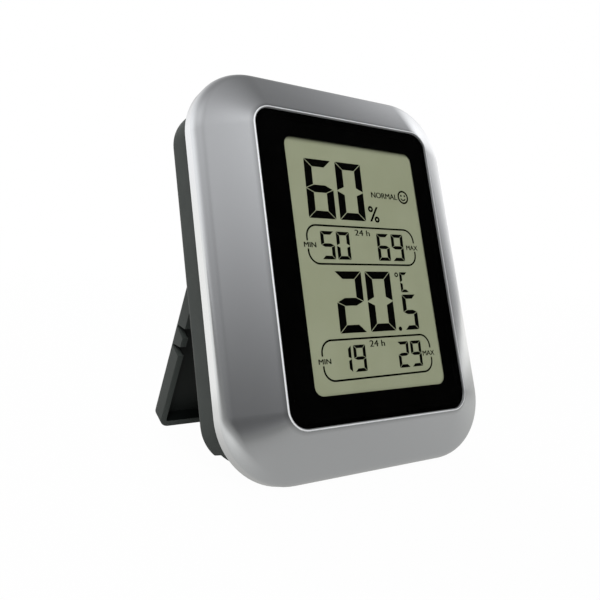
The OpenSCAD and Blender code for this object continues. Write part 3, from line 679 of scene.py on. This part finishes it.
def layRings(piece):
    # takes the flat slopes out and lays them again as even rings, drawn in from the edge of the rounding
    mesh = piece.data
    back = bodyMatrix.inverted()
    tilt = math.radians(crownLook["tilt"])
    outer = crownLook["out"] + crownLook["radius"] * math.sin(tilt)
    step = (outer - crownLook["inner"]) / (crownLook["cuts"] + 1)
    spare = step / 4
    points = [slopePoint(back @ vertex.co) for vertex in mesh.vertices]
    for group in (mesh.vertices, mesh.edges):
        for part in group:
            part.select = False
    for face in mesh.polygons:
        spots = [points[index] for index in face.vertices]
        pasts = [spot[1] for spot in spots if spot is not None]
        whole = None not in spots
        face.select = whole and min(pasts) < outer - spare and max(pasts) > crownLook["inner"] + spare
    bpy.context.tool_settings.mesh_select_mode = (False, False, True)
    editMode()
    bpy.ops.mesh.delete(type="FACE")
    objectMode()
    for turn in range(crownLook["cuts"]):
        past = outer - step * (turn + 1)
        pickBorder(mesh, lambda spot: windowPolar(back @ spot)[2] > past)
        bpy.ops.mesh.extrude_edges_indiv()
        objectMode()
        for vertex in mesh.vertices:
            if vertex.select:
                core, outward = windowPolar(back @ vertex.co)[:2]
                spot = core + outward * (windowShape["corner"] + past)
                spot.y = (past - crownLook["rim"]) * math.tan(tilt)
                vertex.co = bodyMatrix @ spot
    pickBorder(mesh, lambda spot: True)
    bpy.ops.mesh.bridge_edge_loops()
    bpy.ops.mesh.select_all(action="SELECT")
    bpy.ops.mesh.normals_make_consistent(inside=False)
    objectMode()


def faceWay(outward, tilt):
    # the way a face looks that leans outwards by a tilt
    return bodyTurn.to_3x3() @ (outward * math.sin(tilt) - Vector((0.0, math.cos(tilt), 0.0)))


def crownSlopes(piece):
    # lifts the middle of the slopes and lets the shading follow the true curve
    mesh = piece.data
    back = bodyMatrix.inverted()
    pick(piece)
    bpy.ops.mesh.customdata_custom_splitnormals_clear()
    layRings(piece)
    softEdges(piece)
    points = [slopePoint(back @ vertex.co) for vertex in mesh.vertices]
    normals = [normal.vector.copy() for normal in mesh.corner_normals]
    for face in mesh.polygons:
        for index in face.loop_indices:
            spot = points[mesh.loops[index].vertex_index]
            if spot is None:
                continue
            outward, past, tilt = spot
            lean = tilt + math.atan(2 * crownLook["bulge"] * (past - crownLook["middle"]) * math.cos(tilt))
            normal = faceWay(outward, lean)
            if normal.angle(face.normal) < math.radians(crownLook["apart"]):
                normals[index] = normal
    for vertex, spot in zip(mesh.vertices, points):
        if spot is None:
            continue
        outward, past, tilt = spot
        lift = max(crownLook["rise"] - crownLook["bulge"] * (past - crownLook["middle"]) ** 2, 0.0)
        vertex.co += faceWay(outward, tilt) * lift * bodyPose["unit"]
    mesh.normals_split_custom_set(normals)


crownSlopes(bezel)
for nodeName, pieceName, matrix, edgeName in (
        ("display_lens", "windowLens", bodyMatrix, "lensFront"),
        ("rear_cover", "rearShell", bodyMatrix, "coverBack"),
        ("stand", "standFlap", standMatrix, "standRim"),
        ("battery_door", "bayDoor", bodyMatrix, "doorFace"),
        ("unit_button", "unitCap", bodyMatrix, "capTop"),
        ("reset_button", "resetCap", bodyMatrix, "capTop")):
    broken(nodeName, pieceName, matrix, [breakAt(edgeName)], nodeName != "stand")
broken("positive_contact", "positiveTongue", bodyMatrix, [(everyEdge, *fullBreaks["tongue"])])
foam = broken("lcd_pad", "backingFoam", bodyMatrix, [(everyEdge, *fullBreaks["foam"])])
print("mouldings dressed")

# Half-round bead of silver paint round the window, in a paler, less metallic finish that paints its
# highlight
beadLook = {"radius": 0.26, "out": 0.2, "depth": 0.06, "steps": 12}


def rimBead():
    halfX = windowShape["halfWidth"] + beadLook["out"]
    halfZ = windowShape["halfHeight"] + beadLook["out"]
    radius = windowShape["corner"] + beadLook["out"]
    points = []
    for quarter, (signX, signZ) in enumerate(((1, 1), (-1, 1), (-1, -1), (1, -1))):
        turn = 90 * quarter
        middle = (signX * (halfX - radius), signZ * (halfZ - radius))
        points += arc(*middle, radius, turn, turn + 90, beadLook["steps"])
    bead = tube("rimBead", [(x, beadLook["depth"], z) for x, z in points], beadLook["radius"], True)
    seat(bead, bodyMatrix, "housing", "beadPaint")


rimBead()

# Cross-head screws: a turned blank with rolled rings for its thread and a cross cut into the head
screwKinds = {
    "caseScrews": {"node": "case_screws", "x": 24.6, "z": 37.4, "seat": 12.0, "head": 2.1, "rise": 1.6,
                   "shank": 1.1, "length": 8.0, "pitch": 0.8, "thread": 0.2, "slot": 0.6, "reach": 1.2,
                   "deep": 0.8},
    "boardScrews": {"node": "pcb_screws", "x": 26.65, "z": 29.5, "seat": 6.2, "head": 1.7, "rise": 1.2,
                    "shank": 0.8, "length": 4.4, "pitch": 0.6, "thread": 0.15, "slot": 0.46, "reach": 0.95,
                    "deep": 0.6}}
screwLook = {"point": 0.3, "edge": 0.1, "brim": 0.4, "domeStep": 18, "steps": 24, "toolEdge": 0.03,
             "toolTop": 1.0, "firstTurn": 17, "nextTurn": 31}


def screwProfile(kind):
    shank, length = kind["shank"], kind["length"]
    root, pitch = shank - kind["thread"], kind["pitch"]
    profile = [(0.0, -length), (shank * screwLook["point"], -length), (root, shank - length)]
    for ring in range(int((length - shank - pitch) / pitch)):
        height = shank - length + pitch * ring
        profile += [(shank, height + pitch / 2), (root, height + pitch)]
    head, rise, edge, brim = kind["head"], kind["rise"], screwLook["edge"], screwLook["brim"]
    profile += [(root, 0.0), (head - edge, 0.0), (head, edge)]
    for turn in range(0, 90, screwLook["domeStep"]):
        angle = math.radians(turn)
        height = rise * (brim + (1.0 - brim) * math.sin(angle))
        profile.append((head * math.cos(angle), height))
    return profile + [(0.0, rise)]


def crossCut(piece, kind):
    for size in ((kind["reach"], kind["slot"] / 2), (kind["slot"] / 2, kind["reach"])):
        low = (-size[0], -size[1], kind["rise"] - kind["deep"])
        high = (*size, kind["rise"] + screwLook["toolTop"])
        tool = block("crossTool", low, high, screwLook["toolEdge"])
        modified(piece, "BOOLEAN", object=tool, operation="DIFFERENCE")
        bpy.data.objects.remove(tool)
    closeUp(piece)
    softEdges(piece)


def screwSet(pieceName, kind):
    blank = lathe(pieceName, screwProfile(kind), screwLook["steps"])
    crossCut(blank, kind)
    screws = []
    for turn, (signX, signZ) in enumerate(((-1, -1), (1, -1), (-1, 1), (1, 1))):
        screw = linked(pieceName, blank.data.copy())
        place = Matrix.Translation((signX * kind["x"], kind["seat"], signZ * kind["z"]))
        angle = screwLook["firstTurn"] + screwLook["nextTurn"] * turn
        spin = Matrix.Rotation(math.radians(angle), 4, "Z")
        screw.data.transform(place @ Matrix.Rotation(math.radians(-90), 4, "X") @ spin)
        screws.append(screw)
    bpy.data.objects.remove(blank)
    piece = seat(joined(screws, pieceName), bodyMatrix, "housing", "screwSteel")
    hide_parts(kind["node"])


for pieceName, kind in screwKinds.items():
    screwSet(pieceName, kind)

# Battery: printed sleeve, steel ends and an insulating ring, turned about the cell's own axis
cellLook = {"start": -19.95, "depth": 16.0, "height": 18.661, "radius": 5.25, "shoulder": 43.6, "tip": 44.5,
            "nub": 1.9, "steps": 48}
cellMatrix = (bodyMatrix @ Matrix.Translation((cellLook["start"], cellLook["depth"], cellLook["height"]))
              @ Matrix.Rotation(math.radians(90), 4, "Y"))


def battery():
    radius, shoulder, tip, nub = (cellLook[key] for key in ("radius", "shoulder", "tip", "nub"))
    steps = cellLook["steps"]
    lower = [(0.0, 0.3), (radius - 0.8, 0.3)] + arc(radius - 0.4, 0.45, 0.4, 200, 360, 8)
    upper = [(x, shoulder - h) for x, h in reversed(lower)]
    sleeve = lathe("cellSleeve", lower + upper, steps)
    seat(sleeve, cellMatrix, "housing", "cellSleeve")
    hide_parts("battery_cell")
    base = lathe("cellBase", [(0.0, 0.0), (3.9, 0.0), (4.2, 0.1), (4.35, 0.4), (0.0, 0.4)], steps)
    capLine = [(0.0, shoulder - 0.4), (4.35, shoulder - 0.4), (4.3, shoulder - 0.15),
               (nub + 0.5, shoulder - 0.1), (nub + 0.1, shoulder), (nub, shoulder + 0.2), (nub, tip - 0.25),
               (nub - 0.1, tip - 0.07), (nub - 0.3, tip), (0.0, tip)]
    cap = lathe("cellCap", capLine, steps)
    seat(joined([base, cap], "cellEnds"), cellMatrix, "housing", "platedMetal")
    washer = [(nub + 0.6, shoulder - 0.2), (4.3, shoulder - 0.25), (4.3, shoulder - 0.05),
              (nub + 0.6, shoulder)]
    seat(lathe("cellWasher", washer, steps, True), cellMatrix, "housing", "insulator")


battery()

# Negative contact: a plate with a cone of spring wire
springLook = {"from": -24.4, "to": -20.4, "wide": 3.4, "narrow": 2.3, "turns": 3.5, "wire": 0.3,
              "steps": 28, "depth": 16.0, "height": 18.661, "plateLow": (-25.1, 10.55, 14.011),
              "plateHigh": (-24.7, 20.65, 23.311), "plateEdge": 0.08}


def negativeContact():
    count = int(springLook["turns"] * springLook["steps"])
    points = []
    for step in range(count + 1):
        share = step / count
        angle = 2 * math.pi * springLook["turns"] * share
        radius = springLook["wide"] + (springLook["narrow"] - springLook["wide"]) * share
        along = springLook["from"] + (springLook["to"] - springLook["from"]) * share
        deep = springLook["depth"] + radius * math.cos(angle)
        points.append((along, deep, springLook["height"] + radius * math.sin(angle)))
    coil = tube("coil", points, springLook["wire"])
    plate = block("plate", springLook["plateLow"], springLook["plateHigh"], springLook["plateEdge"])
    piece = joined([plate, coil], "springContact")
    seat(piece, bodyMatrix, "housing", "platedMetal")
    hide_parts("negative_contact")


negativeContact()
print("turned pieces set")


# Display artwork: figures of seven bars, two framed boxes, units and plain words
artLook = {"thick": 0.01, "slant": 0.034, "tilt": 0.0106, "gap": 0.18, "gapLeast": 0.35, "gapSpan": 20.0,
           "scale": 0.9952, "shift": (-0.49, 1.036, -0.157), "steps": 40, "strike": 0.05}
figureBars = {"0": "abcdef", "1": "bc", "2": "abged", "5": "afgcd", "6": "afgedc", "9": "abcdfg",
              "C": "afed"}
# text, left, bottom, width, height, upright stroke, level stroke, pitch
figures = [
    ("60", -13.6, 11.1, 7.95, 14.65, 2.1, 1.85, 9.15),
    ("20", -9.0, -16.1, 7.95, 14.6, 2.1, 1.85, 9.15),
    ("5", 11.2, -15.9, 4.6, 8.8, 1.2, 1.05, 0.0),
    ("C", 11.6, -6.5, 2.6, 5.1, 0.78, 0.7, 0.0),
    ("50", -11.3, 1.3, 3.95, 6.8, 0.95, 0.85, 4.6),
    ("69", 5.85, 1.4, 3.95, 6.9, 0.95, 0.85, 4.7),
    ("19", -10.45, -25.1, 3.6, 6.15, 0.85, 0.75, 4.3),
    ("29", 7.55, -25.0, 3.5, 6.3, 0.85, 0.75, 4.15)]


def barOutlines(width, height, stroke, level, gap):
    # outlines of the seven bars from the lower left corner of the figure
    middle = height / 2
    half = level / 2
    mitre = gap / 2 * math.hypot(level, stroke)
    mitreX = mitre / level
    mitreZ = mitre / stroke
    tip = gap / 2 * math.hypot(half, stroke)
    tipX = 2 * tip / level
    tipZ = tip / stroke
    top = [(mitreX, height), (width - mitreX, height), (width - stroke - mitreX, height - level),
           (stroke + mitreX, height - level)]
    side = [(0.0, height - mitreZ), (stroke, height - level - mitreZ), (stroke, middle + half + tipZ),
            (0.0, middle + tipZ)]
    left, right = stroke + tipX, width - stroke - tipX
    hexagon = [(tipX, middle), (left, middle + half), (right, middle + half), (width - tipX, middle),
               (right, middle - half), (left, middle - half)]

    def acrossFlip(outline):
        return [(width - x, z) for x, z in outline]

    def downFlip(outline):
        return [(x, height - z) for x, z in outline]
    return {"a": top, "f": side, "g": hexagon, "b": acrossFlip(side), "e": downFlip(side),
            "c": acrossFlip(downFlip(side)), "d": downFlip(top)}


def figureLoops():
    loops = []
    for text, left, bottom, width, height, stroke, level, pitch in figures:
        gap = artLook["gap"] * min(1.0, artLook["gapLeast"] + height / artLook["gapSpan"])
        outlines = barOutlines(width, height, stroke, level, gap)
        for place, sign in enumerate(text):
            step = place * pitch
            for bar in figureBars[sign]:
                loops.append([(left + step + x + artLook["slant"] * z,
                               bottom + z + artLook["tilt"] * (step + x)) for x, z in outlines[bar]])
    return loops


def ringLoops(centreX, centreZ, radius, stroke):
    steps = artLook["steps"]
    return [arc(centreX, centreZ, radius, 0, 360 - 360 / steps, steps - 1),
            arc(centreX, centreZ, radius - stroke, 0, 360 - 360 / steps, steps - 1)]


def bandLoop(centreX, centreZ, radius, stroke, fromTurn, toTurn):
    steps = artLook["steps"] // 2
    return (arc(centreX, centreZ, radius, fromTurn, toTurn, steps)
            + arc(centreX, centreZ, radius - stroke, toTurn, fromTurn, steps))


# left, right, bottom and top at the left side, corner radius, line, breaks at the left and right sides
boxes = [
    {"left": -14.95, "right": 18.3, "bottom": 0.15, "top": 9.4, "corner": 2.9, "line": 0.44,
     "leftBreak": (3.7, 5.6), "rightBreak": (4.1, 6.3)},
    {"left": -14.9, "right": 18.4, "bottom": -26.7, "top": -17.55, "corner": 2.9, "line": 0.44,
     "leftBreak": (-23.2, -21.05), "rightBreak": (-22.9, -20.6)}]


def boxLoops(box):
    # an upper and a lower bracket, each one closed band
    tilt = artLook["tilt"]
    loops = []
    for edge, end, fold in ((box["top"], 1, 1), (box["bottom"], 0, -1)):
        sides = []
        for offset in (box["line"] / 2, -box["line"] / 2):
            left = box["left"] - offset
            right = box["right"] + offset
            level = edge + fold * offset
            radius = box["corner"] + offset
            leftArc = arc(left + radius, level - fold * radius, radius, 180, 180 - 90 * fold, 10)
            rightArc = arc(right - radius, level - fold * radius, radius, 90 * fold, 0, 10)
            raised = [(x, z + tilt * (x - box["left"])) for x, z in leftArc + rightArc]
            sides.append([(left, box["leftBreak"][end])] + raised + [(right, box["rightBreak"][end])])
        loops.append(sides[0] + sides[1][::-1])
    return loops


def signLoops():
    # percent sign, decimal point, degree ring and the round comfort face
    loops = ringLoops(5.45, 14.55, 0.8, 0.52) + ringLoops(7.15, 11.95, 0.8, 0.52)
    loops.append([(4.8, 11.35), (5.45, 11.35), (7.9, 15.2), (7.25, 15.2)])
    loops.append(ringLoops(9.5, -15.55, 0.55, 0.1)[0])
    loops += ringLoops(10.75, -2.05, 0.6, 0.32)
    faceX, faceZ = 17.1, 18.55
    loops += ringLoops(faceX, faceZ, 1.8, 0.46)
    loops += [ringLoops(faceX + side * 0.6, faceZ + 0.4, 0.27, 0.1)[0] for side in (-1, 1)]
    loops.append(bandLoop(faceX, faceZ, 0.98, 0.34, 205, 335))
    return loops


def flatArt(pieceName, loops, thick):
    # closed outlines as one thin plate in the x-z plane, in millimetres
    clearSelection()
    sheet = bpy.data.curves.new(pieceName, "CURVE")
    sheet.dimensions = "2D"
    sheet.fill_mode = "BOTH"
    sheet.extrude = thick
    for loop in loops:
        drawLine(sheet, [(x, z, 0.0) for x, z in loop], True)
    return meshed(linked(pieceName, sheet))


def wordPlate(pieceName, text, left, right, bottom, top, thick):
    # plain lettering stretched to fill a box in the x-z plane
    clearSelection()
    bpy.ops.object.text_add()
    letters = bpy.context.active_object
    letters.name = pieceName
    letters.data.body = text
    letters.data.extrude = thick
    piece = meshed(letters)
    xs = [vertex.co.x for vertex in piece.data.vertices]
    zs = [vertex.co.y for vertex in piece.data.vertices]
    stretchX = (right - left) / (max(xs) - min(xs))
    stretchZ = (top - bottom) / (max(zs) - min(zs))
    for vertex in piece.data.vertices:
        vertex.co.x = left + (vertex.co.x - min(xs)) * stretchX
        vertex.co.y = bottom + (vertex.co.y - min(zs)) * stretchZ
    return piece


artMatrix = (bodyMatrix @ Matrix.Translation(artLook["shift"]) @ Matrix.Rotation(math.radians(90), 4, "X")
             @ Matrix.Diagonal((artLook["scale"], artLook["scale"], 1.0, 1.0)))
# text, left, right, bottom, top
displayWords = [
    ("NORMAL", 6.4, 15.0, 17.65, 19.1), ("MIN", -16.0, -12.65, 4.05, 5.25), ("MAX", 15.6, 19.4, 4.45, 5.65),
    ("24 h", -0.6, 4.0, 7.5, 8.95), ("MIN", -16.1, -12.7, -22.8, -21.65),
    ("MAX", 15.7, 19.6, -22.45, -21.25), ("24 h", -0.8, 3.8, -19.5, -18.0)]
displayLoops = {"displayFigures": figureLoops(), "displayBoxes": boxLoops(boxes[0]) + boxLoops(boxes[1]),
                "displaySigns": signLoops()}
for pieceName, loops in displayLoops.items():
    art = flatArt(pieceName, loops, artLook["thick"])
    seat(art, artMatrix, "housing", "displayInk")
plates = []
for word, left, right, bottom, top in displayWords:
    for strike in (-artLook["strike"], artLook["strike"]):  # struck twice for a bolder line
        plates.append(wordPlate("word%d" % len(plates), word, left + strike, right + strike, bottom, top,
                                artLook["thick"]))
seat(joined(plates, "displayWords"), artMatrix, "housing", "displayInk")
print("display artwork set")

# Printed signs and a moulded arrow on the back, read from behind: text, middle, half width, bottom, top
backWords = [("\u00b0C/\u00b0F", -19.0, 3.2, 27.3, 28.7), ("RESET", -9.6, 3.4, 27.3, 28.7)]
backLook = {"face": 23.0, "ink": 0.02, "thick": 0.1, "doorFace": 22.95, "doorHeight": 17.2, "arrow": 1.9}
backTurn = Matrix(((-1, 0, 0, 0), (0, 0, 1, 0), (0, 1, 0, 0), (0, 0, 0, 1)))


def backSigns():
    plates = [wordPlate("sign%d" % index, text, -middle - half, half - middle, low, high, backLook["ink"])
              for index, (text, middle, half, low, high) in enumerate(backWords)]
    matrix = bodyMatrix @ Matrix.Translation((0.0, backLook["face"], 0.0)) @ backTurn
    seat(joined(plates, "buttonSigns"), matrix, "housing", "signInk")
    size, height = backLook["arrow"], backLook["doorHeight"]
    arrow = flatArt("doorArrow", [[(-size, height + size), (size, height + size), (0.0, height - size)]],
                    backLook["thick"])
    matrix = bodyMatrix @ Matrix.Translation((0.0, backLook["doorFace"], 0.0)) @ backTurn
    seat(arrow, matrix, "battery_door", "darkShell")


backSigns()
print("back signs set")


# Stage: floor, lamps, world and camera
floorLook = {"half": 3.0, "paper": tone(190, 190, 190), "glow": 0.98, "glowReach": (0.15, 0.6),
             "mirrorFar": 0.26, "mirrorNear": 0.19, "nearReach": (0.04, 0.25), "mirrorRight": 0.17,
             "rightReach": (0.0, 0.12), "mirrorBack": 1.1, "mirrorTint": (1.0, 1.0, 0.97, 1.0),
             "beside": 0.7, "besideX": (-0.065, -0.025), "besideY": (-0.055, -0.015), "slant": 0.9,
             "slantEdge": (-0.09, -0.01), "leftEdge": (-0.1, -0.06), "fade": 0.4, "fadeX": (0.02, 0.08),
             "backEdge": (0.0, 0.05)}


def floorPaper(place, look):
    across, deep, rise = place.split()
    beside = across.ease(*look["besideX"], look["beside"], 0.0) * deep.ease(*look["besideY"])
    sector = (deep + across * look["slant"]).ease(*look["slantEdge"])
    sector = sector.math("MAXIMUM", across.ease(*look["leftEdge"]))
    fade = across.ease(*look["fadeX"], 1.0, look["fade"])
    behind = sector * beside.math("MAXIMUM", (deep * fade).ease(*look["backEdge"]))
    distance = place.node("ShaderNodeVectorMath", {"operation": "LENGTH"}, {0: place}, "Value")
    seen = place.node("ShaderNodeLightPath", {}, {}, "Is Camera Ray")
    mirrored = seen.out("Is Glossy Ray").math("MAXIMUM", seen.out("Is Transmission Ray"))
    paper = place.node("ShaderNodeBsdfDiffuse", {}, {"Color": look["paper"]})
    ahead = (distance.ease(*look["nearReach"], look["mirrorNear"], 0.0) + look["mirrorFar"]
             + across.ease(*look["rightReach"]) * look["mirrorRight"])
    level = seen + (1 - seen) * (ahead * (1 - behind) + behind * look["mirrorBack"])
    tint = seen.blend(look["mirrorTint"], white)
    glow = place.node("ShaderNodeEmission", {}, {"Color": tint, "Strength": level})
    share = seen * distance.ease(*look["glowReach"], look["glow"], 1.0) + mirrored
    return place.node("ShaderNodeMixShader", {}, {0: share, 1: paper, 2: glow})


def makeFloor():
    clearSelection()
    bpy.ops.mesh.primitive_plane_add(size=2 * floorLook["half"], location=(0.0, 0.0, 0.0))
    floor = bpy.context.active_object
    floor.name = "floor"
    floor.data.materials.append(dressed("floorPaper", floorPaper, floorLook))


# Soft lights of the studio as smooth patches of the world: direction, tightness, level
softLights = [
    ((-0.16, -0.62, 0.77), 14.3, 0.66), ((0.82, 0.33, 0.47), 29.0, 1.3), ((-0.7, 0.68, 0.22), 11.2, 0.63),
    ((0.97, 0.02, -0.23), 40.0, 1.3), ((0.81, 0.59, 0.03), 29.3, 1.5), ((-0.16, 0.98, 0.07), 4.4, 1.05),
    ((-0.79, 0.03, 0.61), 7.6, 0.65), ((-0.1, -0.7, -0.71), 6.0, 1.6), ((0.03, -0.07, 1.0), 4.4, 0.31),
    ((-0.62, -0.53, 0.58), 35.5, 0.24)]


def makeWorld():
    world = bpy.data.worlds.new("studio")
    scene.world = world
    world.use_nodes = True
    world.node_tree.nodes.clear()
    start = Wire(world.node_tree)
    way = start.node("ShaderNodeTexCoord", {}, {}, "Generated")
    level = 0.0
    for centre, tightness, peak in softLights:
        near = way.node("ShaderNodeVectorMath", {"operation": "DOT_PRODUCT"}, {0: way, 1: centre}, "Value")
        level = level + ((near - 1.0) * tightness).math("EXPONENT") * peak
    seen = start.node("ShaderNodeLightPath", {}, {}, "Is Camera Ray")
    strength = seen + (1 - seen) * level
    glow = start.node("ShaderNodeBackground", {}, {"Color": white, "Strength": strength})
    glow.show("ShaderNodeOutputWorld")


# name, place and side in metres, power in watts
lamps = [("keyBox", (-0.3, -0.62, 0.55), 0.42, 8.0), ("backBox", (0.12, 0.74, 0.32), 0.42, 7.0)]
lampTarget = Vector((0.0, 0.0, 0.05))


def makeLamps():
    for name, place, size, power in lamps:
        lamp = bpy.data.lights.new(name, "AREA")
        lamp.shape = "SQUARE"
        lamp.size = size
        lamp.energy = power
        holder = linked(name, lamp)
        aim = (lampTarget - Vector(place)).to_track_quat("-Z", "Y")
        holder.matrix_world = Matrix.Translation(place) @ aim.to_matrix().to_4x4()
        holder.visible_glossy = False  # the paint mirrors the soft world, not the square lamps


cameraLook = {"eye": (-102.07, -116.964, -32.637), "view": (0.56569, 0.80769, 0.16623),
              "up": (0.00671, -0.20609, 0.97851), "focal": 665.5, "picture": 600.0, "sensor": 36.0,
              "near": 0.01}


def makeCamera():
    camera = bpy.data.cameras.new("camera")
    camera.sensor_width = cameraLook["sensor"]
    camera.lens = cameraLook["focal"] * cameraLook["sensor"] / cameraLook["picture"]
    camera.clip_start = cameraLook["near"]
    holder = linked("camera", camera)
    view = Vector(cameraLook["view"]).normalized()
    right = view.cross(Vector(cameraLook["up"])).normalized()
    up = right.cross(view)
    axes = bodyTurn.to_3x3() @ Matrix((right, up, -view)).transposed()
    holder.matrix_world = Matrix.Translation(bodyMatrix @ Vector(cameraLook["eye"])) @ axes.to_4x4()
    scene.camera = holder


makeFloor()
makeWorld()
makeLamps()
makeCamera()
print("stage set")

clearSelection()
